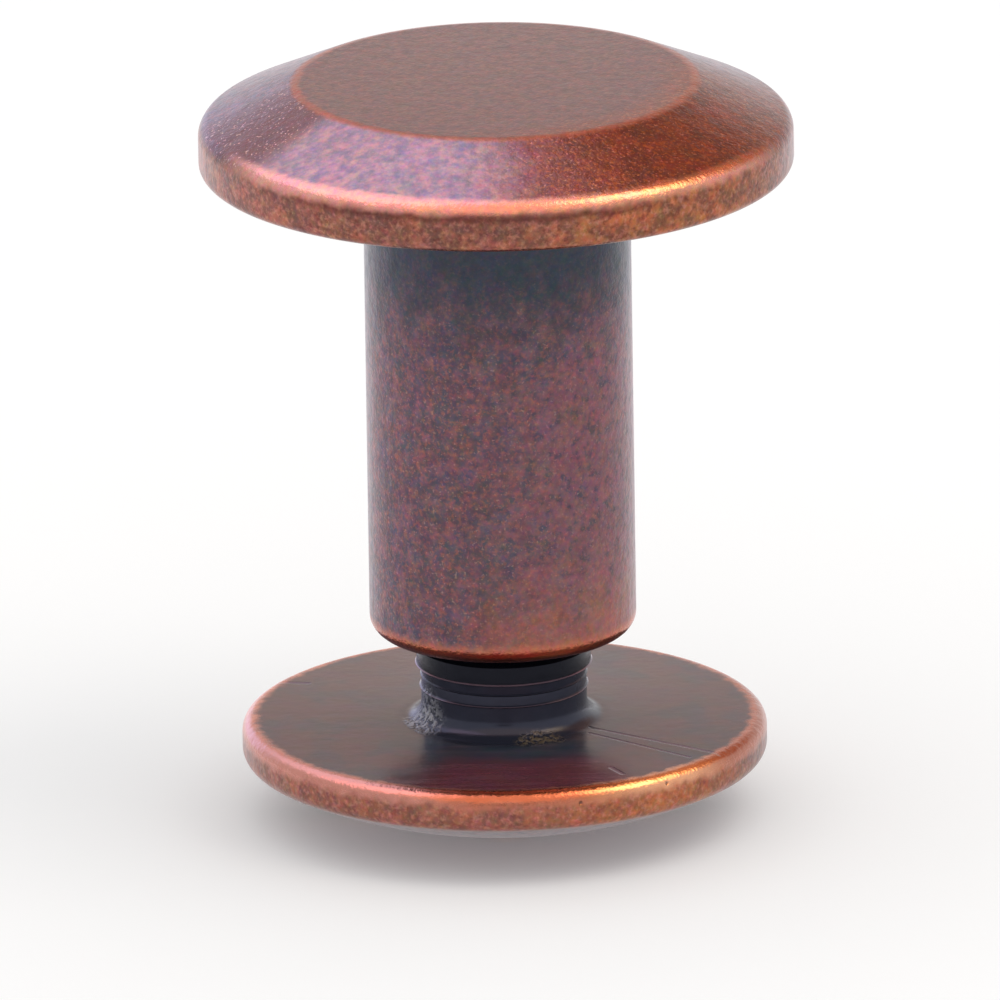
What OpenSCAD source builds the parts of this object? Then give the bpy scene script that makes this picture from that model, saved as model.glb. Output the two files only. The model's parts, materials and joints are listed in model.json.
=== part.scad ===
// Two-piece belt screw, drawn partly unscrewed and standing on the domed head of its screw.
// Z runs along the common axis. Z = 0 is the surface the slotted dome stands on.

/* [Barrel post] */
// Diameter of the bevelled head
head_d = 13.8; // [12:0.1:16]
// Diameter of the flat on top of the head
flat_d = 9.3; // [7:0.1:11]
// Height of the bevel around the flat
bevel_h = 1; // [0.6:0.05:1.6]
// Height of the head's edge below the bevel
rim_h = 1.1; // [0.8:0.05:2]
// Rounding between the head's edge and its bevel
shoulder_round = 0.23; // [0.1:0.01:0.35]
// Rounding between the bevel and the flat
crease_round = 0.4; // [0.1:0.05:0.8]
// Rounding of the head's lower edge
lip_round = 0.16; // [0.05:0.01:0.3]
// Outside diameter of the barrel
barrel_d = 6.2; // [6:0.1:8]
// Length of the barrel below the head
barrel_l = 11.2; // [9:0.1:20]
// Rounding of the barrel's open end
end_round = 0.42; // [0.1:0.01:0.5]
// Fillet where the barrel meets the head
foot_round = 0.15; // [0.05:0.01:0.4]
// Depth of the tapped bore, up to the drill point
bore_l = 9; // [8.6:0.1:10.5]
// Angle of the drill point
drill_angle = 118; // [90:1:140]
// Countersink at the mouth of the bore
mouth_chamfer = 0.2; // [0.05:0.01:0.3]
// Plain length of the bore before its thread starts
mouth_l = 0.8; // [0.5:0.05:1.2]

/* [Screw] */
// Diameter of the domed head
dome_d = 12.2; // [10:0.1:15]
// Rise of the dome above the head's edge
dome_rise = 1.5; // [1.2:0.05:2]
// Height of the edge between the clamping face and the dome
edge_h = 0.85; // [0.7:0.05:1.4]
// Rounding of the edge beside the clamping face
face_round = 0.3; // [0.1:0.01:0.34]
// Rounding of the edge beside the dome
dome_round = 0.3; // [0.1:0.01:0.34]
// Major diameter of the thread, number 8 in a 32 per inch pitch
thread_d = 4.1; // [3.95:0.05:4.4]
// Pitch of the thread
thread_pitch = 0.794; // [0.6:0.001:0.9]
// Length of the stud from the clamping face
stud_l = 7.5; // [6.5:0.1:8]
// Diameter of the plain neck where the thread runs out
neck_d = 3.85; // [3:0.05:3.95]
// Height of the neck above the clamping face
neck_h = 1.34; // [1.25:0.01:2]
// Fillet between the neck and the clamping face
root_round = 0.43; // [0.1:0.01:0.6]
// Chamfer at the tip of the stud
tip_chamfer = 0.3; // [0.1:0.05:0.5]

/* [Driver slots] */
// Width of both slots
slot_w = 1.2; // [0.8:0.05:1.5]
// Length of the long slot
slot_l = 11.3; // [8:0.1:11.5]
// Depth of the long slot at the top of the dome
slot_h = 1.4; // [0.8:0.05:1.45]
// Length of the short cross slot
cross_l = 4.4; // [3:0.1:5.5]
// Depth of the short cross slot
cross_h = 1.9; // [1:0.05:2.1]
// Rounding of the four corners where the slots cross
corner_round = 0.3; // [0.1:0.05:0.4]

/* [Fit] */
// Radial clearance between the stud and the bore
thread_gap = 0.08; // [0.04:0.01:0.1]
// Turns by which the post is unscrewed from its stop
open_turns = 2; // [0:1:5]

/* [Smoothness] */
// How far a rounded outline may stray from its true curve
arc_error = 0.003; // [0.001:0.001:0.01]

/* [Hidden] */
copper = "#8c5546";
overlap = 0.5;

head_r = head_d / 2;
flat_r = flat_d / 2;
barrel_r = barrel_d / 2;
dome_r = dome_d / 2;
thread_r = thread_d / 2;
neck_r = neck_d / 2;
bore_r = thread_r + thread_gap;
bevel_angle = atan2(bevel_h, head_r - flat_r);
neck_step = thread_r - neck_r;

// The dome is a cap of this sphere, and the slots cross at its lowest point
sphere_r = (dome_r * dome_r + dome_rise * dome_rise) / (2 * dome_rise);
function dome_sag(r) = sphere_r - sqrt(sphere_r * sphere_r - r * r);

// The dome stands on the four rounded corners beside the crossing of the slots
corner_reach = sqrt(2) * (slot_w / 2 + corner_round) - corner_round;
pole_z = -dome_sag(corner_reach);
sphere_z = pole_z + sphere_r;
face_z = pole_z + dome_rise + edge_h;
tip_z = face_z + stud_l;

// At the stop the post's thread meets the end of the screw's thread
stop_gap = neck_h - mouth_l;
post_z = face_z + stop_gap + open_turns * thread_pitch;
under_z = post_z + barrel_l;
rim_z = under_z + rim_h;
top_z = rim_z + bevel_h;

// Points of an arc around c, from angle a to angle b, fine enough to stray by arc_error at most
function arc(c, r, a, b, first = 0) =
    let (n = ceil(abs(b - a) / (2 * acos(1 - arc_error / r))))
    [for (i = [first:n]) c + r * [cos(a + (b - a) * i / n), sin(a + (b - a) * i / n)]];

// How far a rounding of radius r reaches along the edges of a corner that turns by an angle
function tangent_l(r, turn) = r * tan(turn / 2);

// Outline of the post, from the barrel's mouth round to the top of the head
function post_points() = concat(
    [[0, post_z]],
    arc([barrel_r - end_round, post_z + end_round], end_round, -90, 0),
    arc([barrel_r + foot_round, under_z - foot_round], foot_round, 180, 90),
    arc([head_r - lip_round, under_z + lip_round], lip_round, -90, 0),
    arc([head_r - shoulder_round, rim_z - tangent_l(shoulder_round, 90 - bevel_angle)],
        shoulder_round, 0, 90 - bevel_angle),
    arc([flat_r - tangent_l(crease_round, bevel_angle), top_z - crease_round],
        crease_round, 90 - bevel_angle, 90),
    [[0, top_z]]
);

// Tapped bore, at the thread's major diameter, with its drill point and countersink
module post_bore() {
    mouth_r = bore_r + mouth_chamfer;
    point_h = bore_r / tan(drill_angle / 2);
    translate([0, 0, post_z - overlap])
        cylinder(r = bore_r, h = bore_l + overlap, $fn = 96);
    translate([0, 0, post_z + bore_l])
        cylinder(r1 = bore_r, r2 = 0, h = point_h, $fn = 96);
    translate([0, 0, post_z - overlap])
        cylinder(r1 = mouth_r + overlap, r2 = bore_r, h = mouth_chamfer + overlap, $fn = 96);
}

module barrel_post() {
    color(copper)
        difference() {
            rotate_extrude($fn = 180) polygon(post_points());
            post_bore();
        }
}

// Centre height and end angle of the rounding that runs from the edge into the dome
dome_round_z = sphere_z - sqrt(pow(sphere_r - dome_round, 2) - pow(dome_r - dome_round, 2));
dome_end_angle = atan2(dome_round_z - sphere_z, dome_r - dome_round);

// Outline of the screw, from the top of the dome round to the tip of the stud
function screw_points() = concat(
    arc([0, sphere_z], sphere_r, -90, dome_end_angle),
    arc([dome_r - dome_round, dome_round_z], dome_round, dome_end_angle, 0, first = 1),
    arc([dome_r - face_round, face_z - face_round], face_round, 0, 90),
    arc([neck_r + root_round, face_z + root_round], root_round, 270, 180),
    [
        [neck_r, face_z + neck_h - neck_step],
        [thread_r, face_z + neck_h],
        [thread_r, tip_z - tip_chamfer],
        [thread_r - tip_chamfer, tip_z],
        [0, tip_z]
    ]
);

// Rounds off the corner that the two slots leave at the origin, towards +X and +Y
module corner_cut() {
    difference() {
        square(corner_round);
        translate([corner_round, corner_round]) circle(r = corner_round, $fn = 32);
    }
}

// Long slot with the four rounded corners where the short one crosses it
module long_slot() {
    translate([0, 0, pole_z - overlap])
        linear_extrude(slot_h + overlap) {
            square([slot_l, slot_w], center = true);
            for (side = [0, 1], end = [0, 1])
                mirror([side, 0]) mirror([0, end])
                    translate([slot_w / 2, slot_w / 2]) corner_cut();
        }
}

module cross_slot() {
    translate([0, 0, pole_z - overlap])
        linear_extrude(cross_h + overlap)
            square([slot_w, cross_l], center = true);
}

module slotted_screw() {
    color(copper)
        difference() {
            rotate_extrude($fn = 180) polygon(screw_points());
            long_slot();
            cross_slot();
        }
}

barrel_post();
slotted_screw();
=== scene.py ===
import json
import math

import bpy
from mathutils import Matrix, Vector


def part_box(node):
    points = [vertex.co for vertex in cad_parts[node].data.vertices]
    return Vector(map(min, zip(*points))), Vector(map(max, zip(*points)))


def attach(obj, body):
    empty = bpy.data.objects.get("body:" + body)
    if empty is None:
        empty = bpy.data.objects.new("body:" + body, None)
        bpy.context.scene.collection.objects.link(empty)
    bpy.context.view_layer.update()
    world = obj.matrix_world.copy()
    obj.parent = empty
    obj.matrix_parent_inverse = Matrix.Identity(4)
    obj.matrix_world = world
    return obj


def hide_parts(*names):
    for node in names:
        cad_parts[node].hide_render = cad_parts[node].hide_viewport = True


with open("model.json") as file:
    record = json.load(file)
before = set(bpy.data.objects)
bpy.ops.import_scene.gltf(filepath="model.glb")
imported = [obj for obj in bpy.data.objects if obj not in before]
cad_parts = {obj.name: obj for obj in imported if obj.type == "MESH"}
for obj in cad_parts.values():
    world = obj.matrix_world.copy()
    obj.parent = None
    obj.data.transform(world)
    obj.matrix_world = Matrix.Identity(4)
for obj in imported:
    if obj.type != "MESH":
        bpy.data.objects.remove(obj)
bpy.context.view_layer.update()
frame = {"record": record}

mm = 0.001
mounts = {mount["name"]: mount for mount in frame["record"]["mounts"]}
postLow, postHigh = (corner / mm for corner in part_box("barrel_post"))
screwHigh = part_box("slotted_screw")[1] / mm
underZ = mounts["head_underside"]["pos_m"][2] / mm        # lower face of the bevelled head
faceZ = mounts["clamping_face"]["pos_m"][2] / mm          # inner face of the slotted head
barrelRadius = mounts["barrel"]["dims"]["r_mm"]
pickError = 0.003        # mm by which a picked vertex may be off


# Helpers for modelling

def deselect():
    bpy.ops.object.select_all(action="DESELECT")


def activate(piece):
    deselect()
    bpy.context.view_layer.objects.active = piece
    piece.select_set(True)


def edit(piece, kind="VERT"):
    activate(piece)
    bpy.ops.object.mode_set(mode="EDIT")
    bpy.ops.mesh.select_mode(type=kind)


def leaveEdit():
    bpy.ops.object.mode_set(mode="OBJECT")


def faceOutwards():
    bpy.ops.mesh.select_all(action="SELECT")
    bpy.ops.mesh.normals_make_consistent(inside=False)


def pickVertices(piece, wanted):        # selects the vertices whose place, in mm, the test accepts
    edit(piece)
    bpy.ops.mesh.select_all(action="DESELECT")
    leaveEdit()
    for vertex in piece.data.vertices:
        vertex.select = wanted(vertex.co / mm)


def applyModifiers(piece):
    activate(piece)
    for modifier in list(piece.modifiers):
        bpy.ops.object.modifier_apply(modifier=modifier.name)


def turn(name, stations, sides):        # drags a filled circle along (radius, height) stations
    deselect()
    radius, height = stations[0]
    bpy.ops.mesh.primitive_circle_add(vertices=sides, radius=radius * mm, fill_type="NGON")
    piece = bpy.context.object
    piece.name = piece.data.name = name
    bpy.ops.object.mode_set(mode="EDIT")
    bpy.ops.transform.translate(value=(0, 0, height * mm))
    for nextRadius, nextHeight in stations[1:]:
        bpy.ops.mesh.extrude_edges_move(
            TRANSFORM_OT_translate={"value": (0, 0, (nextHeight - height) * mm)})
        grow = nextRadius / radius
        bpy.ops.transform.resize(value=(grow, grow, 1), center_override=(0, 0, nextHeight * mm))
        radius, height = nextRadius, nextHeight
    bpy.ops.mesh.edge_face_add()
    faceOutwards()
    leaveEdit()
    return piece


def roundPicked(piece, reach, steps):
    edit(piece, "EDGE")
    bpy.ops.mesh.bevel(offset=reach * mm, segments=steps, affect="EDGES")
    leaveEdit()


def roundRing(piece, radius, height, reach, steps=6):        # rounds the ring at one station
    pickVertices(piece, lambda at: math.hypot(at.xy.length - radius, at.z - height) < pickError)
    roundPicked(piece, reach, steps)


def combine(piece, other, way):        # boolean, after which the second shape is gone
    modifier = piece.modifiers.new(way, "BOOLEAN")
    modifier.operation, modifier.solver, modifier.object = way, "EXACT", other
    applyModifiers(piece)
    bpy.data.objects.remove(other, do_unlink=True)


def block(name, size, centre):
    deselect()
    bpy.ops.mesh.primitive_cube_add(size=1)
    piece = bpy.context.object
    piece.name = piece.data.name = name
    bpy.ops.object.mode_set(mode="EDIT")
    bpy.ops.transform.resize(value=[side * mm for side in size])
    bpy.ops.transform.translate(value=[place * mm for place in centre])
    leaveEdit()
    return piece


# Thread, a number 8 with 32 turns to the inch, shared by the stud and the tapped bore

threadSizes = {
    "pitch": 0.794,
    "radius": 2.05,          # crests of the stud
    "rootRadius": 1.57,
    "crestFlat": 0.12,
    "rootFlat": 0.16,
    "softening": 0.03,       # plated crests and roots aren't sharp
    "crestAtRight": 3.7445,  # height of one crest on the +X side
    "gap": 0.08,             # the bore's thread is this much larger all over
    "steps": 96,
    "spareTurns": 2,         # past each end, cut off later
    "weld": 0.0005,
}


def threadRod(name, grow, low, high):        # one groove's outline, wound up by a Screw modifier
    size = threadSizes
    pitch, half = size["pitch"], size["pitch"] / 2
    root, top, soft = size["rootRadius"] + grow, size["radius"] + grow, size["softening"]
    flankLow, flankHigh = -half + size["rootFlat"] / 2, -size["crestFlat"] / 2
    slope = (top - root) / (flankHigh - flankLow)
    outline = [
        (root, -half), (root + soft / 2, flankLow),
        (root + 2 * soft, flankLow + 2 * soft / slope),
        (top - 2 * soft, flankHigh - 2 * soft / slope),
        (top - soft / 2, flankHigh), (top, flankHigh + soft)]
    outline += [(radius, -height) for radius, height in reversed(outline)]
    turnsBelow = math.ceil((size["crestAtRight"] - low) / pitch) + size["spareTurns"]
    turnsAbove = math.ceil((high - size["crestAtRight"]) / pitch) + size["spareTurns"]
    firstCrest = size["crestAtRight"] - turnsBelow * pitch
    deselect()
    bpy.ops.mesh.primitive_plane_add(size=mm)
    rod = bpy.context.object
    rod.name = rod.data.name = name
    edit(rod)        # in vertex mode, because a lone vertex is drawn out below
    bpy.ops.mesh.select_all(action="SELECT")
    bpy.ops.mesh.merge(type="CENTER")
    places = [Vector((radius, 0, firstCrest + height)) * mm for radius, height in outline]
    bpy.ops.transform.translate(value=places[0])
    for here, there in zip(places, places[1:]):
        bpy.ops.mesh.extrude_region_move(TRANSFORM_OT_translate={"value": there - here})
    leaveEdit()
    winding = rod.modifiers.new("winding", "SCREW")
    winding.axis, winding.angle, winding.screw_offset = "Z", math.tau, pitch * mm
    winding.steps = winding.render_steps = size["steps"]
    winding.iterations = turnsBelow + turnsAbove
    applyModifiers(rod)
    edit(rod)
    bpy.ops.mesh.select_all(action="SELECT")
    bpy.ops.mesh.remove_doubles(threshold=size["weld"] * mm)
    bpy.ops.mesh.select_all(action="SELECT")
    bpy.ops.mesh.fill_holes(sides=0)
    faceOutwards()
    leaveEdit()
    return rod


# Barrel post

postSizes = {
    "sides": 256,
    "flatRadius": 4.65,
    "bevelHeight": 1.0,
    "shoulder": 0.26,       # how far each rounding reaches from its corner
    "crease": 0.16,
    "lip": 0.24,
    "foot": 0.15,
    "mouth": 0.42,
    "fineSteps": 8,         # faces across the widest roundings
    "countersink": 0.2,
    "plainMouth": 1.25,     # bore before its first thread
    "tapped": 8.2,
    "boreLength": 9.3,
    "drillAngle": 118,
    "drillTip": 0.033,      # radius left at the drill point
    "below": 0.5,           # how far the cutter stands out of the mouth
    "tapSpare": 0.01,
    "tapSides": 48,
}


def makePost():
    size = postSizes
    headRadius, rimZ = postHigh.x, postHigh.z - size["bevelHeight"]
    post = turn("barrelPost", [
        (barrelRadius, postLow.z), (barrelRadius, underZ), (headRadius, underZ),
        (headRadius, rimZ), (size["flatRadius"], postHigh.z)], size["sides"])
    roundRing(post, barrelRadius, postLow.z, size["mouth"], size["fineSteps"])
    roundRing(post, barrelRadius, underZ, size["foot"])
    roundRing(post, headRadius, underZ, size["lip"])
    roundRing(post, headRadius, rimZ, size["shoulder"], size["fineSteps"])
    roundRing(post, size["flatRadius"], postHigh.z, size["crease"])

    core = threadSizes["rootRadius"] + threadSizes["gap"]
    wide = threadSizes["radius"] + threadSizes["gap"]
    mouthTop, boreTop = postLow.z + size["plainMouth"], postLow.z + size["boreLength"]
    bore = turn("bore", [
        (wide + size["countersink"] + size["below"], postLow.z - size["below"]),
        (wide, postLow.z + size["countersink"]), (wide, mouthTop),
        (core, mouthTop + wide - core), (core, boreTop),
        (size["drillTip"], boreTop + core / math.tan(math.radians(size["drillAngle"] / 2)))],
        size["sides"] // 2)
    tapLow, tapHigh = postLow.z + size["plainMouth"] / 2, postLow.z + size["tapped"]
    tap = threadRod("tap", threadSizes["gap"], tapLow, tapHigh)
    around = wide + size["tapSpare"]
    tapLength = turn("tapLength", [(around, tapLow), (around, tapHigh)], size["tapSides"])
    combine(tap, tapLength, "INTERSECT")
    combine(bore, tap, "UNION")
    combine(post, bore, "DIFFERENCE")
    return post


# Slotted screw

screwSizes = {
    "sides": 256,
    "domeRise": 1.5,
    "domeRings": 14,
    "domeRound": 0.2,
    "edgeRound": 0.3,
    "fineSteps": 8,
    "neckRadius": 1.925,
    "neckHeight": 1.34,       # plain neck below the collar
    "neckRings": [            # tool marks: height above the face, and how far each stands out
        (0.75, 0), (0.78, 0.04), (0.82, 0),
        (1.03, -0.01), (1.06, 0.02), (1.09, -0.01), (1.29, 0)],
    "collarRadius": 2.03,     # the thread runs out into a short plain collar
    "collarLip": 2.06,        # burr along the collar's lower edge
    "collarHeight": 0.42,
    "burr": 0.02,
    "runOut": 0.3,
    "coreInset": 0.1,         # core under the thread's roots, hidden in the stud
    "coreHeight": 1,
    "rootFillet": 0.43,
    "slotWidth": 1.2,
    "slotLength": 11.3,
    "slotDepth": 1.4,
    "crossLength": 4.4,
    "crossDepth": 1.9,
    "crossingRound": 0.3,
    "crossingSteps": 5,
    "below": 1,               # how far the slots' cutters stand out of the dome
    "tipChamfer": 0.3,
    "tipDish": 0.15,
    "dishRadius": 0.2,
    "studSpare": 0.02,
    "studSeat": 0.03,         # how far the stud sinks into the collar
}


def sphereRadius(edgeRadius, rise):        # of a ball with a cap this wide and high
    return (edgeRadius ** 2 + rise ** 2) / (2 * rise)


def makeScrew():
    size = screwSizes
    domeRadius = screwHigh.x
    sphere = sphereRadius(domeRadius, size["domeRise"])
    corner, rounding = size["slotWidth"] / 2, size["crossingRound"]
    reach = math.sqrt(2) * (corner + rounding) - rounding
    pole = -(sphere - math.sqrt(sphere ** 2 - reach ** 2))        # the dome stands beside the slots
    widest = math.asin(domeRadius / sphere)
    angles = [widest * (ring + 1) / size["domeRings"] for ring in range(size["domeRings"])]
    dome = [(sphere * math.sin(angle), pole + sphere * (1 - math.cos(angle))) for angle in angles]
    edgeZ = dome[-1][1]
    neck, collarZ = size["neckRadius"], faceZ + size["neckHeight"]
    lip, collar, burr = size["collarLip"], size["collarRadius"], size["burr"]
    collarTop = collarZ + size["collarHeight"]
    core = threadSizes["rootRadius"] - size["coreInset"]
    rings = [(neck + out, faceZ + height) for height, out in size["neckRings"]]
    screw = turn("slottedScrew", dome + [(domeRadius, faceZ), (neck, faceZ)] + rings + [
        (lip - burr, collarZ - burr), (lip, collarZ), (collar, collarZ + lip - collar),
        (collar, collarTop), (core, collarTop + size["runOut"]),
        (core, collarTop + size["coreHeight"])], size["sides"])
    roundRing(screw, domeRadius, edgeZ, size["domeRound"], size["fineSteps"])
    roundRing(screw, domeRadius, faceZ, size["edgeRound"], size["fineSteps"])
    roundRing(screw, neck, faceZ, size["rootFillet"], size["fineSteps"])

    def slotCutter(name, length, width, depth):
        return block(name, (length, width, depth + size["below"]),
                     (0, 0, pole + (depth - size["below"]) / 2))

    slot = slotCutter("slot", size["slotLength"], size["slotWidth"], size["slotDepth"])
    cross = slotCutter("cross", size["slotWidth"], size["crossLength"], size["slotDepth"])
    combine(slot, cross, "UNION")
    pickVertices(slot, lambda at: max(abs(abs(at.x) - corner), abs(abs(at.y) - corner)) < pickError)
    roundPicked(slot, rounding, size["crossingSteps"])
    deep = slotCutter("deep", size["slotWidth"], size["crossLength"], size["crossDepth"])
    combine(screw, slot, "DIFFERENCE")
    combine(screw, deep, "DIFFERENCE")

    tip, chamfer = screwHigh.z, size["tipChamfer"]
    stud = threadRod("stud", 0, collarTop, tip)
    wide = threadSizes["radius"] + size["studSpare"]
    blank = turn("blank", [
        (wide, collarTop - size["studSeat"]), (wide, tip - chamfer), (wide - chamfer, tip),
        (wide - 2 * chamfer, tip), (size["dishRadius"], tip - size["tipDish"])],
        size["sides"] // 2)
    combine(stud, blank, "INTERSECT")
    combine(screw, stud, "UNION")
    return screw


print("modelling the post and the screw")
smoothAngle = 32
post = makePost()
screw = makeScrew()
for piece, node, body in ((post, "barrel_post", "post"), (screw, "slotted_screw", "screw")):
    activate(piece)
    bpy.ops.object.shade_smooth_by_angle(angle=math.radians(smoothAngle))
    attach(piece, body)
    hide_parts(node)
    print(piece.name, len(piece.data.vertices), "vertices", len(piece.data.polygons), "faces")


# Helpers for materials

def colour(code):        # sRGB hex to the linear values that sockets take
    parts = [int(code[i:i + 2], 16) / 255 for i in (0, 2, 4)]
    return [part / 12.92 if part <= 0.04045 else ((part + 0.055) / 1.055) ** 2.4
            for part in parts] + [1]


def newMaterial(name):
    material = bpy.data.materials.new(name)
    material.use_nodes = True
    return material, material.node_tree.nodes["Principled BSDF"]


def addNode(owner, kind, settings={}, inputs={}):        # owner is a material or the world
    node = owner.node_tree.nodes.new(kind)
    for key, value in settings.items():
        setattr(node, key, value)
    for key, value in inputs.items():
        if isinstance(value, bpy.types.NodeSocket):
            owner.node_tree.links.new(value, node.inputs[key])
        else:
            node.inputs[key].default_value = value
    return node


def coordinates(owner):        # place in mm, and its point (radius, height) on the turned outline
    objectPlace = addNode(owner, "ShaderNodeTexCoord").outputs["Object"]
    place = addNode(owner, "ShaderNodeVectorMath", {"operation": "SCALE"},
                    {0: objectPlace, "Scale": 1 / mm}).outputs[0]
    plan = addNode(owner, "ShaderNodeVectorMath", {"operation": "MULTIPLY"},
                   {0: place, 1: (1, 1, 0)}).outputs[0]
    radius = addNode(owner, "ShaderNodeVectorMath", {"operation": "LENGTH"},
                     {0: plan}).outputs["Value"]
    height = addNode(owner, "ShaderNodeSeparateXYZ", {}, {0: place}).outputs["Z"]
    outline = addNode(owner, "ShaderNodeCombineXYZ", {}, {"X": radius, "Y": height}).outputs[0]
    return place, outline, radius, height


def fade(owner, value, full, none):        # 1 where the value is at full, 0 where it is at none
    inputs = {"Value": value, "From Min": full, "From Max": none, "To Min": 1, "To Max": 0}
    settings = {"interpolation_type": "SMOOTHSTEP"}
    return addNode(owner, "ShaderNodeMapRange", settings, inputs).outputs[0]


def near(owner, place, centre, full, none):        # 1 close to a point, or to a ring of the outline
    away = addNode(owner, "ShaderNodeVectorMath", {"operation": "DISTANCE"},
                   {0: place, 1: centre}).outputs["Value"]
    return fade(owner, away, full, none)


def grain(owner, place, size, full, none, detail=3.0, stretch=(1, 1, 1)):        # size in mm
    squeezed = addNode(owner, "ShaderNodeVectorMath", {"operation": "MULTIPLY"},
                       {0: place, 1: stretch}).outputs[0]
    inputs = {"Vector": squeezed, "Scale": 1 / size, "Detail": detail, "Roughness": 0.6}
    return fade(owner, addNode(owner, "ShaderNodeTexNoise", {}, inputs).outputs[0], full, none)


def overlap(owner, *masks):        # only where all of them are
    share = masks[0]
    for mask in masks[1:]:
        share = addNode(owner, "ShaderNodeMath", {"operation": "MULTIPLY", "use_clamp": True},
                        {0: share, 1: mask}).outputs[0]
    return share


def either(owner, *masks):        # the strongest of them
    share = masks[0]
    for mask in masks[1:]:
        share = addNode(owner, "ShaderNodeMath", {"operation": "MAXIMUM", "use_clamp": True},
                        {0: share, 1: mask}).outputs[0]
    return share


def layer(owner, under, over, mask, amount=1, way="MIX"):        # paints over what lies below
    strength = overlap(owner, mask, amount)
    isNumber = isinstance(over, (int, float))
    kind, low, high, out = ("FLOAT", 2, 3, 0) if isNumber else ("RGBA", 6, 7, 2)
    settings = {"data_type": kind, "blend_type": way}
    inputs = {0: strength, low: under, high: over}
    return addNode(owner, "ShaderNodeMix", settings, inputs).outputs[out]


def facing(owner, place, azimuth, full, none):        # degrees right of the front, and to each side
    plan = addNode(owner, "ShaderNodeVectorMath", {"operation": "MULTIPLY"},
                   {0: place, 1: (1, 1, 0)}).outputs[0]
    unit = addNode(owner, "ShaderNodeVectorMath", {"operation": "NORMALIZE"},
                   {0: plan}).outputs[0]
    towards = (math.sin(math.radians(azimuth)), -math.cos(math.radians(azimuth)), 0)
    turned = addNode(owner, "ShaderNodeVectorMath", {"operation": "DOT_PRODUCT"},
                     {0: unit, 1: towards}).outputs["Value"]
    return fade(owner, turned, math.cos(math.radians(full)), math.cos(math.radians(none)))


def ragged(owner, place, outline, amount):        # the outline shaken by up to about amount, in mm
    noise = addNode(owner, "ShaderNodeTexNoise", {}, {"Vector": place, "Scale": 3, "Detail": 4})
    centred = addNode(owner, "ShaderNodeVectorMath", {"operation": "SUBTRACT"},
                      {0: noise.outputs["Color"], 1: (0.5, 0.5, 0)}).outputs[0]
    shake = (3 * amount, 3 * amount, 0)        # noise seldom strays by more than a third
    return addNode(owner, "ShaderNodeVectorMath", {"operation": "MULTIPLY_ADD"},
                   {0: centred, 1: shake, 2: outline}).outputs[0]


def fromLine(owner, place, start, end):        # distance in mm to the line between two points
    along = Vector(end) - Vector(start)
    fromStart = addNode(owner, "ShaderNodeVectorMath", {"operation": "SUBTRACT"},
                        {0: place, 1: start}).outputs[0]
    reach = addNode(owner, "ShaderNodeVectorMath", {"operation": "DOT_PRODUCT"},
                    {0: fromStart, 1: along / along.length_squared}).outputs["Value"]
    share = addNode(owner, "ShaderNodeClamp", {}, {"Value": reach}).outputs[0]
    nearest = addNode(owner, "ShaderNodeVectorMath", {"operation": "SCALE"},
                      {0: along, "Scale": share}).outputs[0]
    return addNode(owner, "ShaderNodeVectorMath", {"operation": "DISTANCE"},
                   {0: fromStart, 1: nearest}).outputs["Value"]


# Aged copper, which both pieces share; some of its tones paint highlights and shade

agedCopper = {
    "plate": "5e4750",          # dull maroon, the commonest tone
    "flat": "6a4c50",
    "brown": "823e2c",
    # dark tone of the bevel's speckled patch, partly painted shade
    "speckledAndShaded": "5c322e",
    "rose": "8c5a60",
    "blue": "50586c",           # thin oxide film, bluish to lilac
    "lilac": "947c8a",
    "slate": "3c434e",          # thicker oxide, blue-grey
    "teal": "2c3843",
    "ember": "a8604e",          # thinly covered copper, in small spots
    # bare pinpricks; on the bevel's dark patch, painted glints
    "spark": "d0a294",          # bare pinpricks
    "side": "985c4a",           # edges rubbed back to copper
    "goldHighlight": "c0723a",
    "sideDark": "4c3838",
    # dark red: scabs on rubbed edges, and the painted shade line under the shoulder
    "line": "5c2c26",
    # rubbed copper, also used for painted highlights and glints
    "wearAndHighlight": "dc9680",
    "pinkHighlight": "d8948c",
    "giltHighlight": "e6b07a",
    "crease": "b4603e",
    "mouth": "c8704e",
    # painted shade for the head's underside
    "under": "4a3236",
    "neck": "343644",
    # black oxide of the stud; also painted shade in the bore and the slots' floors
    "black": "161822",
    "faceBrown": "504048",
    "faceBlue": "36434f",
    "paintedReflectionRed": "7a3c46",
    "silver": "a8a8ac",
    "brass": "8c7a58",
}
tones = {name: colour(code) for name, code in agedCopper.items()}

plateLayers = {        # tone, amount, then size in mm and the noise where it is full and gone
    "film": ("blue", 0.42, (0.42, 0.66, 0.38)),
    "rose": ("rose", 0.55, (0.3, 0.68, 0.42)),
    "blotch": ("slate", 0.45, (0.24, 0.68, 0.42)),
    "ember": ("ember", 0.4, (0.1, 0.7, 0.46)),
    "spark": ("spark", 0.22, (0.07, 0.76, 0.6, 1)),
}
finish = {
    "roughness": 0.3,
    "blotchRoughness": 0.4,
    "rubbedRoughness": 0.25,
    "coat": 0.2,                # thin clear lacquer, which pales the grazing edges
    "coatRoughness": 0.25,
    "fine": (0.07, 0.2, 0.8, 2),
    "fineDepth": 0.0035,        # mm
    "pitted": (0.35, 0.2, 0.8, 3),
    "pittedDepth": 0.012,
}


def agedPlate(material, place):        # antique copper plate, tumbled: satin, mottled and speckled
    tone, grains = tones["plate"], {}
    for name, (toneName, amount, noise) in plateLayers.items():
        grains[name] = grain(material, place, *noise)
        tone = layer(material, tone, tones[toneName], grains[name], amount)
    return tone, grains


edgeMarks = {
    # painted highlight: golden on the right of rubbed edges
    "goldHighlight": (45, 10, 45),     # azimuth, full and gone, in degrees
    # painted shade on the far right of rubbed edges
    "farRightShade": (82, 12, 34),
    "patches": (0.4, 0.62, 0.36),
    "scabs": (0.15, 0.72, 0.48),
    "flecks": (0.12, 0.7, 0.44),
}


# also paints a golden highlight on the right and shade on the far right
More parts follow.
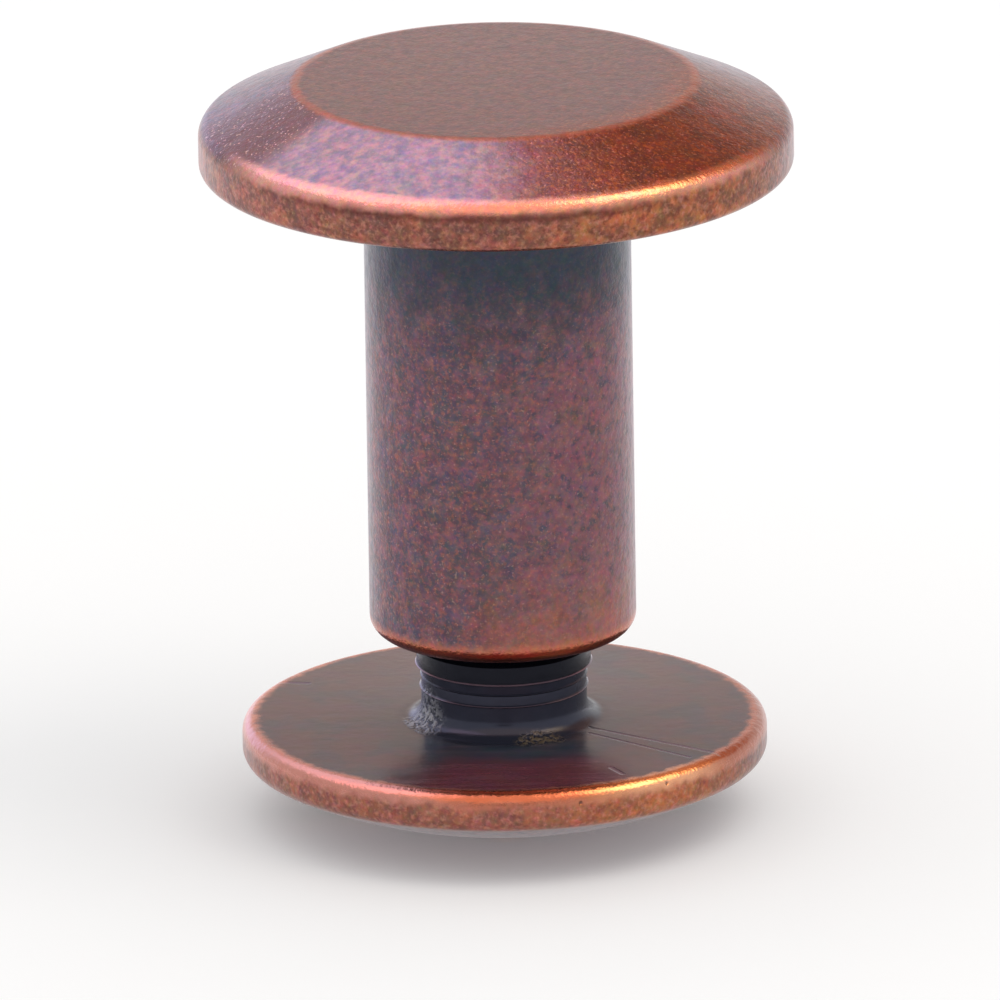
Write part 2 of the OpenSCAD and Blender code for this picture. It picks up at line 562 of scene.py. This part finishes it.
def rubbedEdgeAndPaintedLight(material, place, dark):        # copper brightened by handling, dark plate in patches
    patches = grain(material, place, *edgeMarks["patches"])
    scabs = grain(material, place, *edgeMarks["scabs"])
    flecks = grain(material, place, *edgeMarks["flecks"])
    goldHighlight = facing(material, place, *edgeMarks["goldHighlight"])
    farRightShade = facing(material, place, *edgeMarks["farRightShade"])
    tone = layer(material, tones["side"], tones["goldHighlight"], goldHighlight, 0.55)
    tone = layer(material, tone, tones["sideDark"], patches, dark)
    # painted shade on the far right
    tone = layer(material, tone, tones["sideDark"], farRightShade, 0.5)
    tone = layer(material, tone, tones["wearAndHighlight"], flecks, 0.34)
    return layer(material, tone, tones["line"], scabs, dark)


def tarnishTints(material, place, tone, fine):        # faint clouds and grain of every hue
    for scale, amount in ((1.8, 0.24), (8, fine)):
        inputs = {"Vector": place, "Scale": scale, "Detail": 4}
        hue = addNode(material, "ShaderNodeTexNoise", {}, inputs).outputs["Color"]
        tone = layer(material, tone, hue, amount, 1, "OVERLAY")
    return tone


def finishSurface(material, surface, tone, roughness, bumps):
    material.node_tree.links.new(tone, surface.inputs["Base Color"])
    material.node_tree.links.new(roughness, surface.inputs["Roughness"])
    surface.inputs["Coat Weight"].default_value = finish["coat"]
    surface.inputs["Coat Roughness"].default_value = finish["coatRoughness"]
    normal = None
    for height, depth in bumps:
        inputs = {"Height": height, "Strength": 1, "Distance": depth * mm}
        if normal:
            inputs["Normal"] = normal
        normal = addNode(material, "ShaderNodeBump", {}, inputs).outputs[0]
    material.node_tree.links.new(normal, surface.inputs["Normal"])


# sides where marks are laid: each paints light or shade, some over real film or wear
postStainsAndPaintedLight = {        # azimuth, full and gone, in degrees
    # painted reflection of a cool light, partly a real lilac film
    "filmAndPaintedReflection": (-31, 27, 44),
    # dark speckled patch beyond the reflection: partly painted shade, its sparks painted glints
    "speckledAndShaded": (-72, 11, 20),
    # right side painted darker and warmer as shade, over brown wear, with painted glints
    "brownWearAndShade": (55, 22, 66),
    # painted highlight low on the barrel's right
    "lowRightHighlight": (38, 15, 60),
    # painted highlight on the barrel's right
    "rightHighlight": (60, 0, 75),
    # painted shade line under the shoulder's highlight
    "line": (-8, 20, 50),
    # the shoulder's rubbed band is kept to the front, as a painted highlight
    "shoulder": (3, 46, 74),
    # painted pink highlight on the shoulder's left
    "pinkHighlight": (-50, 20, 50),
}
postGrains = {        # size in mm, and the noise where it is full and gone
    "clouds": (0.3, 0.66, 0.36),
    "wobble": (0.3, 0.3, 0.7),
    "smudges": (0.5, 0.66, 0.4),
    "streaks": (0.5, 0.25, 0.75, 5, (1, 1, 0.7)),
    "streakReach": 1.2,         # mm by which they shake the dark foot's border
    "shake": 0.07,
}


# painted light here: reflections, highlights and shade by side on the bevel, barrel and edges, and
# painted shade under the head and in the bore
def makePostCopper():        # darkest under the head, bright where it rubs
    material, surface = newMaterial("antiqueCopperPost")
    surface.inputs["Metallic"].default_value = 1
    place, outline, radius, height = coordinates(material)
    tone, grains = agedPlate(material, place)
    shaken = ragged(material, place, outline, postGrains["shake"])
    rimZ, headRadius = postHigh.z - postSizes["bevelHeight"], postHigh.x
    onBevel = overlap(material, fade(material, radius, 4.75, 4.6),
                      fade(material, height, rimZ, rimZ - 0.3))
    onFlat = overlap(material, fade(material, radius, 4.4, 4.7),
                     fade(material, height, postHigh.z - 0.02, postHigh.z - 0.1))
    tone = layer(material, tone, tones["flat"], onFlat, 0.4)

    def paint(under, name, amount, *masks):
        return layer(material, under, tones[name], overlap(material, *masks), amount)

    def side(name):
        return facing(material, place, *postStainsAndPaintedLight[name])

    def ring(ringRadius, ringHeight, full, none):
        return near(material, shaken, (ringRadius, ringHeight, 0), full, none)

    # bevel: on the left a lilac film, partly a painted reflection of a cool light, and beyond it a
    # dark speckled patch, partly painted shade with painted glints; on the right worn brown, partly
    # painted warm shade with painted glints
    filmAndPaintedReflection = overlap(material, side("filmAndPaintedReflection"), onBevel)
    tone = paint(tone, "lilac", 0.6, filmAndPaintedReflection)
    tone = paint(tone, "wearAndHighlight", 0.24, filmAndPaintedReflection, grain(material, place, *postGrains["clouds"]))
    tone = paint(tone, "blue", 0.3, filmAndPaintedReflection, grains["blotch"])
    speckledAndShaded = overlap(material, side("speckledAndShaded"), onBevel)
    tone = paint(tone, "speckledAndShaded", 0.85, speckledAndShaded)
    tone = paint(tone, "spark", 1, speckledAndShaded, grains["spark"])
    # painted shade and glints on the right, over brown wear
    brownWearAndShade = overlap(material, side("brownWearAndShade"), fade(material, radius, 4.9, 3.5))
    tone = paint(tone, "brown", 0.7, brownWearAndShade)
    tone = paint(tone, "brown", 0.5, brownWearAndShade, grain(material, place, *postGrains["wobble"]))
    tone = paint(tone, "sideDark", 0.6, brownWearAndShade, grain(material, place, *postGrains["smudges"]))
    tone = paint(tone, "goldHighlight", 0.4, brownWearAndShade, grains["ember"])
    tone = paint(tone, "wearAndHighlight", 0.5, brownWearAndShade, grains["spark"])

    # blue-grey under the head, with a ragged border; below it, painted highlights on the barrel's
    # right
    streaks = grain(material, place, *postGrains["streaks"])
    border = addNode(material, "ShaderNodeMath", {"operation": "MULTIPLY_ADD"},
                     {0: streaks, 1: postGrains["streakReach"], 2: height}).outputs[0]
    onBarrel = overlap(material, fade(material, radius, 3.3, 3.8),
                       fade(material, height, underZ, underZ + 0.1))
    foot = fade(material, border, underZ - 0.7, underZ - 3.9)
    low = fade(material, border, postLow.z + 0.6, postLow.z + 3.4)
    middle = fade(material, border, underZ - 4.4, underZ - 1.6)
    unblotched = fade(material, grains["blotch"], 0, 1.2)
    tone = paint(tone, "teal", 0.88, foot, onBarrel)
    # painted highlight: golden low on the barrel's right
    tone = paint(tone, "goldHighlight", 0.4, side("lowRightHighlight"), low, onBarrel)
    # painted highlight: lighter rose on the barrel's right
    tone = paint(tone, "rose", 0.42, side("rightHighlight"), middle, unblotched, onBarrel)

    # rubbed edges: side of the head, shoulder, crease, and the barrel's mouth, with painted
    # highlights and shade on them by side
    headSide = ring(headRadius, underZ + 0.38, 0.52, 0.72)
    tone = layer(material, tone, rubbedEdgeAndPaintedLight(material, place, 0.62), headSide, 0.95)
    # painted shade: a dark line under the shoulder's highlight, at the front
    tone = paint(tone, "line", 0.7, ring(headRadius, rimZ - 0.24, 0.03, 0.19), side("line"))
    # shoulder: rubbed copper, kept to the front as a painted highlight
    shoulder = overlap(material, ring(headRadius - 0.14, rimZ - 0.02, 0.07, 0.3), side("shoulder"))
    crease = ring(postSizes["flatRadius"], postHigh.z, 0.03, 0.18)
    mouth = ring(barrelRadius - 0.15, postLow.z + 0.12, 0.16, 0.48)
    tone = paint(tone, "wearAndHighlight", 0.8, shoulder)
    # painted highlight: pink on the shoulder's left
    tone = paint(tone, "pinkHighlight", 0.6, shoulder, side("pinkHighlight"))
    # crease: rubbed copper, partly a painted highlight
    tone = paint(tone, "crease", 0.5, crease)
    tone = paint(tone, "mouth", 0.85, mouth)
    tone = tarnishTints(material, place, tone, 0.34)

    # painted shade: the head's underside and the bore are darkened
    underside = fade(material, height, underZ + 0.01, underZ + 0.1)
    tone = paint(tone, "under", 0.8, near(material, outline, (5, underZ, 0), 1.6, 1.85), underside)
    tone = paint(tone, "black", 0.9, fade(material, radius, 2.3, 2.7),
                 fade(material, height, underZ - 1, underZ - 0.5))

    roughness = layer(material, finish["roughness"], finish["blotchRoughness"],
                      grains["blotch"], 0.5)
    roughness = layer(material, roughness, finish["rubbedRoughness"],
                      either(material, shoulder, mouth))
    fine = grain(material, place, *finish["fine"])
    pitted = layer(material, grain(material, place, *finish["pitted"]), 0.5, onFlat, 0.6)
    bumps = ((fine, finish["fineDepth"]), (pitted, finish["pittedDepth"]))
    finishSurface(material, surface, tone, roughness, bumps)
    return material


# sides where marks are laid: each paints a reflection, highlight or shade
screwPaintedLight = {        # azimuth, full and gone, in degrees
    # painted reflection of the barrel, redder in front of it
    "paintedBarrelReflection": (3, 18, 32),   # redder in front of the barrel
    # painted pink highlight on the rim's left
    "rose": (-50, 20, 50),
    # painted shade dimming the rim's highlight at the front
    "frontShade": (6, 10, 28),
    # painted golden highlight on the rim's right
    "giltHighlight": (38, 4, 24),
    # painted shade on the rim's far right
    "farRightShade": (84, 22, 40),
}
screwGrains = {        # size in mm, and the noise where it is full and gone
    "cloud": (1.3, 0.62, 0.42),
    "streak": (0.16, 0.7, 0.4, 2, (0.06, 1, 1)),
    "crumbs": (0.12, 0.62, 0.4, 2),
    "shake": 0.12,
}
faceMarks = {        # scratches on the clamping face: start, end and width
    "longScratch": ((1.99, -1.10), (4.99, -3.25), 0.07),
    "besideIt": ((1.98, -1.52), (4.29, -3.48), 0.06),
    "shortOne": ((2.45, -4.17), (2.71, -4.64), 0.08),
    "backOne": ((-5.36, 2.71), (-4.57, 2.59), 0.1),
}
rimMarks = {"pit": (1.74, -5.85, 2.01), "nick": (3.75, -4.81, 2.13)}
footMarks = {        # rough spots where the neck meets the face, with heights above the face
    "silvery": (-2.05, -0.9, 0.2),
    "brassy": ((0.45, -2.25, 0.14), (1.2, -2.0, 0.14)),
}
slotBorder = {"longReach": 5.05, "crossReach": 1.6, "full": 0.66, "none": 0.8}
oxideSurface = {"specular": 0.18, "metallic": 0.45, "roughness": 0.18, "streakRoughness": 0.32}


# painted light here: the barrel's reflection on the face, highlights and shade on the rim by side,
# highlight lines on the collar, darkened slot floors
def makeScrewCopper():        # the same plate, black round the stud, greyer on the clamping face
    material, surface = newMaterial("antiqueCopperScrew")
    surface.inputs["Specular IOR Level"].default_value = oxideSurface["specular"]
    place, outline, radius, height = coordinates(material)
    tone, grains = agedPlate(material, place)
    shaken = ragged(material, place, outline, screwGrains["shake"])
    domeRadius = screwHigh.x

    def paint(under, name, amount, *masks):
        return layer(material, under, tones[name], overlap(material, *masks), amount)

    def side(name):
        return facing(material, place, *screwPaintedLight[name])

    def raised(at):        # a point given by its height above the clamping face
        return (*at[:2], faceZ + at[2])

    # smooth oxide on the clamping face, clouded and faintly streaked, with a painted reflection of
    # the barrel in front of it
    onFace = overlap(material, fade(material, radius, domeRadius - 0.42, domeRadius - 0.24),
                     fade(material, height, faceZ - 0.02, faceZ - 0.1))
    cloud = grain(material, place, *screwGrains["cloud"])
    streak = grain(material, place, *screwGrains["streak"])
    oxide = paint(tones["faceBrown"], "faceBlue", 0.85, cloud)
    oxide = paint(oxide, "faceBlue", 0.5, fade(material, radius, 2.6, 4.4))
    # painted reflection: the barrel's red on the face in front of it
    oxide = paint(oxide, "paintedReflectionRed", 0.8, side("paintedBarrelReflection"), fade(material, radius, 4.2, 3))
    oxide = paint(oxide, "lilac", 0.12, streak)
    oxide = tarnishTints(material, place, oxide, 0.15)
    tone = layer(material, tarnishTints(material, place, tone, 0.4), oxide, onFace)
    scratches = []
    for start, end, width in faceMarks.values():
        away = fromLine(material, place, (*start, faceZ), (*end, faceZ))
        scratches.append(fade(material, away, width / 4, width))
    marks = either(material, *scratches)
    tone = paint(tone, "lilac", 0.5, marks)

    # rubbed side and rim, with painted highlights and shade by side
    rim = overlap(material, fade(material, radius, domeRadius - 0.06, domeRadius - 0.5),
                  fade(material, height, faceZ - 0.9, faceZ - 1.2),
                  fade(material, height, faceZ - 0.2, faceZ))
    edge = tarnishTints(material, place, rubbedEdgeAndPaintedLight(material, place, 0.4), 0.4)
    tone = layer(material, tone, edge, rim, 0.95)
    upper = near(material, shaken, (domeRadius - 0.12, faceZ - 0.1, 0), 0.08, 0.36)
    tone = paint(tone, "wearAndHighlight", 0.82, upper)
    # painted highlight: rose on the rim's left
    tone = paint(tone, "rose", 0.4, upper, side("rose"))
    # painted shade: the rim's highlight darker and more orange at the front
    tone = paint(tone, "crease", 0.9, upper, side("frontShade"))
    tone = paint(tone, "side", 0.3, upper, side("frontShade"))
    # painted highlight: gilt on the rim's right
    tone = paint(tone, "giltHighlight", 0.45, upper, side("giltHighlight"))
    # painted shade: the rim's far right darkened
    tone = paint(tone, "side", 0.75, upper, side("farRightShade"))

    # slots: floors darkened as painted shade, rubbed borders
    sphere = sphereRadius(domeRadius, screwSizes["domeRise"])
    fromCentre = addNode(material, "ShaderNodeVectorMath", {"operation": "DISTANCE"},
                         {0: place, 1: (0, 0, sphere)}).outputs["Value"]
    plan = addNode(material, "ShaderNodeVectorMath", {"operation": "MULTIPLY"},
                   {0: place, 1: (1, 1, 0)}).outputs[0]
    longReach, crossReach = slotBorder["longReach"], slotBorder["crossReach"]
    alongLong = fromLine(material, plan, (-longReach, 0, 0), (longReach, 0, 0))
    alongCross = fromLine(material, plan, (0, -crossReach, 0), (0, crossReach, 0))
    border = either(material, fade(material, alongLong, slotBorder["full"], slotBorder["none"]),
                    fade(material, alongCross, slotBorder["full"], slotBorder["none"]))
    tone = paint(tone, "crease", 0.7, border, fade(material, height, 1, 1.4))
    # painted shade: the slots' floors darkened
    tone = paint(tone, "black", 0.9, fade(material, fromCentre, sphere - 0.5, sphere - 0.15),
                 fade(material, radius, 5.7, 5.8), fade(material, height, faceZ - 0.3, faceZ - 0.2))

    # the stud and its neck are black, with copper crests and painted highlight lines on the
    # collar's lip and a tool ring
    stud = overlap(material, fade(material, radius, 2.3, 2.6),
                   fade(material, height, faceZ, faceZ - 0.1))
    collarZ, crestRadius = faceZ + screwSizes["neckHeight"], threadSizes["radius"]
    ringHeight, ringOut = screwSizes["neckRings"][1]
    tone = paint(tone, "neck", 0.95, stud)
    tone = paint(tone, "black", 1, stud, fade(material, height, collarZ, collarZ - 0.1))
    crests = overlap(material, fade(material, radius, crestRadius - 0.06, crestRadius - 0.34),
                     fade(material, height, collarZ + 1.1, collarZ + 0.5), stud)
    tone = paint(tone, "side", 0.75, crests)
    lip = (screwSizes["collarLip"], collarZ, 0)
    ring = (screwSizes["neckRadius"] + ringOut, faceZ + ringHeight, 0)
    # painted highlights: pale lines along the collar's lip and a tool ring
    tone = paint(tone, "lilac", 0.85, near(material, outline, lip, 0.015, 0.045))
    tone = paint(tone, "lilac", 0.35, near(material, outline, ring, 0.01, 0.035))

    # rough silver and brassy patches at its foot, and two dents in the rim
    crumbs = grain(material, place, *screwGrains["crumbs"])
    silvery = near(material, place, raised(footMarks["silvery"]), 0.25, 0.95)
    silvery = overlap(material, silvery, crumbs, fade(material, radius, 2.3, 2.45))
    smear = fromLine(material, place, *(raised(at) for at in footMarks["brassy"]))
    brassy = overlap(material, fade(material, smear, 0.05, 0.34), crumbs)
    dents = either(material, *(near(material, place, at, 0.01, 0.065) for at in rimMarks.values()))
    tone = paint(tone, "silver", 0.75, silvery)
    tone = paint(tone, "brass", 0.6, brassy)
    tone = paint(tone, "sideDark", 0.7, dents)
    rough = either(material, silvery, brassy)

    oxidised = either(material, onFace, stud)
    metallic = layer(material, 1, oxideSurface["metallic"], oxidised)
    metallic = layer(material, metallic, 1, crests)
    material.node_tree.links.new(metallic, surface.inputs["Metallic"])
    roughness = layer(material, finish["roughness"], finish["blotchRoughness"],
                      grains["blotch"], 0.5)
    roughness = layer(material, roughness, oxideSurface["roughness"], onFace)
    roughness = layer(material, roughness, oxideSurface["streakRoughness"],
                      overlap(material, onFace, streak), 0.6)
    roughness = layer(material, roughness, 0.5, either(material, marks, rough))
    roughness = layer(material, roughness, finish["rubbedRoughness"], upper)
    fine = layer(material, grain(material, place, *finish["fine"]), 0.5, onFace, 0.9)
    pitted = layer(material, grain(material, place, *finish["pitted"]), 0.5, onFace, 0.85)
    bumps = ((fine, finish["fineDepth"]), (pitted, finish["pittedDepth"]),
             (marks, -0.012), (rough, 0.03), (dents, -0.04))
    finishSurface(material, surface, tone, roughness, bumps)
    material.node_tree.links.new(layer(material, finish["coat"], 0, oxidised),
                                 surface.inputs["Coat Weight"])
    return material


print("making the materials")
for piece, material in ((post, makePostCopper()), (screw, makeScrewCopper())):
    piece.data.materials.clear()
    piece.data.materials.append(material)


# Stage

print("setting up the stage, the light and the camera")
stageSizes = {
    "floor": 4000,
    "floorColour": "f2f2f2",
    "metalNear": "b8b8b8",   # what metal sees of it in front of the object
    "metalFar": "e6e4ec",    # and behind it
    "backwards": (-0.5, 0.87, 0),
    "farFrom": 45,           # mm that way where it is all metalFar, and all metalNear
    "nearFrom": -25,
    "metalLift": 0.5,        # paleness that metal sees there even under the object
    "shadowLift": 0.12,      # and that the camera sees
}


def makeFloorPaint():        # matte white, with a tone of its own for what metal reflects
    material, surface = newMaterial("matteWhiteFloor")
    surface.inputs["Roughness"].default_value = 0.9
    surface.inputs["Specular IOR Level"].default_value = 0
    surface.inputs["Emission Color"].default_value = (1, 1, 1, 1)
    path = addNode(material, "ShaderNodeLightPath")
    glossy, camera = path.outputs["Is Glossy Ray"], path.outputs["Is Camera Ray"]
    place = coordinates(material)[0]
    behind = addNode(material, "ShaderNodeVectorMath", {"operation": "DOT_PRODUCT"},
                     {0: place, 1: stageSizes["backwards"]}).outputs["Value"]
    far = fade(material, behind, stageSizes["farFrom"], stageSizes["nearFrom"])
    metalNear, metalFar = colour(stageSizes["metalNear"]), colour(stageSizes["metalFar"])
    metalTone = layer(material, metalNear, metalFar, far)
    tone = layer(material, colour(stageSizes["floorColour"]), metalTone, glossy)
    lift = layer(material, 0, stageSizes["metalLift"], glossy)
    lift = layer(material, lift, stageSizes["shadowLift"], camera)
    material.node_tree.links.new(tone, surface.inputs["Base Color"])
    material.node_tree.links.new(lift, surface.inputs["Emission Strength"])
    material.cycles.emission_sampling = "NONE"        # so the light path is always the true one
    return material


bpy.ops.mesh.primitive_plane_add(size=stageSizes["floor"] * mm)
floor = bpy.context.object
floor.name = "floor"
floor.data.materials.append(makeFloorPaint())


# Light

lamps = {
    "keyLight": {"towards": (0.5, -0.2, 0.84), "size": (260, 260),
                 "brightness": 1.6, "colour": "fff6ee"},
}
lampDistance = 500
aim = Vector((0, 0, 9)) * mm
for name, lamp in lamps.items():
    data = bpy.data.lights.new(name, "AREA")
    data.shape = "RECTANGLE"
    data.size, data.size_y = (side * mm for side in lamp["size"])
    area = data.size * data.size_y
    data.energy = lamp["brightness"] * math.pi * area        # seen at this brightness
    data.color = colour(lamp["colour"])[:3]
    holder = bpy.data.objects.new(name, data)
    bpy.context.scene.collection.objects.link(holder)
    towards = Vector(lamp["towards"]).normalized()
    holder.location = aim + towards * lampDistance * mm
    holder.rotation_euler = towards.to_track_quat("Z", "Y").to_euler()

tentBrightness = {"shining": 0.92, "seen": 1.0}
tentPatches = {        # parts of the tent that metal sees in other tones: half angles in degrees
    "openFront": {"towards": (0, -1, 0), "inner": 5, "outer": 14,
                  "colour": "6a5854", "brightness": 1},
    "lowBack": {"towards": (-0.12, 0.9, 0.42), "inner": 8, "outer": 24,
                "colour": "fee1d3", "brightness": 1.07},
    "paleLeft": {"towards": (-0.45, 0.87, 0.18), "inner": 10, "outer": 20,
                 "colour": "e0e0ff", "brightness": 1.9},
    "warmCorner": {"towards": (0.42, 0.55, 0.72), "inner": 14, "outer": 34,
                   "colour": "d89870", "brightness": 1},
    "topFront": {"towards": (0, -0.5, 0.87), "inner": 28, "outer": 46,
                 "colour": "ffe4d0", "brightness": 1.6},
    "coolPane": {"towards": (-0.35, 0.3, 0.88), "inner": 27, "outer": 35,
                 "colour": "e6e4f6", "brightness": 2.25},
    "pinkPane": {"towards": (-0.52, -0.12, 0.84), "inner": 12, "outer": 24,
                 "colour": "ffe0e6", "brightness": 2.8},
    "goldPane": {"towards": (0.56, -0.05, 0.83), "inner": 10, "outer": 22,
                 "colour": "ffdca0", "brightness": 4.3},
}

world = bpy.data.worlds.new("whiteTent")
bpy.context.scene.world = world
world.use_nodes = True
world.cycles.sampling_method = "NONE"        # so that the light path below is always the true one
lightPath = addNode(world, "ShaderNodeLightPath")
glossyRay = lightPath.outputs["Is Glossy Ray"]
direction = addNode(world, "ShaderNodeTexCoord").outputs["Generated"]
white = colour("ffffff")
tent = white
for patch in tentPatches.values():
    middle = Vector(patch["towards"]).normalized()
    turned = addNode(world, "ShaderNodeVectorMath", {"operation": "DOT_PRODUCT"},
                     {0: direction, 1: middle}).outputs["Value"]
    inner, outer = (math.cos(math.radians(patch[edge])) for edge in ("inner", "outer"))
    glow = [part * patch["brightness"] for part in colour(patch["colour"])[:3]] + [1]
    tent = layer(world, tent, glow, fade(world, turned, inner, outer))
tent = layer(world, white, tent, glossyRay)
seen = either(world, lightPath.outputs["Is Camera Ray"], glossyRay)
strength = layer(world, tentBrightness["shining"], tentBrightness["seen"], seen)
sky = world.node_tree.nodes["Background"]
world.node_tree.links.new(tent, sky.inputs["Color"])
world.node_tree.links.new(strength, sky.inputs["Strength"])


# Camera

cameraSizes = {
    "elevation": 17.5,
    "distance": 1000,
    "pixelsPerMm": 43.07,
    "imageWidth": 1000,
    "sensor": 36,
    "target": (-0.03, 0, 7.54),
    "roll": 0.85,            # the photographed axis leans by this
    "clip": (0.1, 10),       # m
}
pixelsAcross = cameraSizes["pixelsPerMm"] * cameraSizes["distance"]
data = bpy.data.cameras.new("camera")
data.sensor_width = cameraSizes["sensor"]
data.lens = data.sensor_width * pixelsAcross / cameraSizes["imageWidth"]
data.clip_start, data.clip_end = cameraSizes["clip"]
camera = bpy.data.objects.new("camera", data)
bpy.context.scene.collection.objects.link(camera)
tilt = math.radians(cameraSizes["elevation"])
back = Vector((0, -math.cos(tilt), math.sin(tilt)))
camera.location = (Vector(cameraSizes["target"]) + back * cameraSizes["distance"]) * mm
camera.rotation_euler = (math.pi / 2 - tilt, 0, 0)
camera.rotation_euler.rotate_axis("Z", math.radians(-cameraSizes["roll"]))
bpy.context.scene.camera = camera
bpy.context.scene.view_settings.view_transform = "Standard"
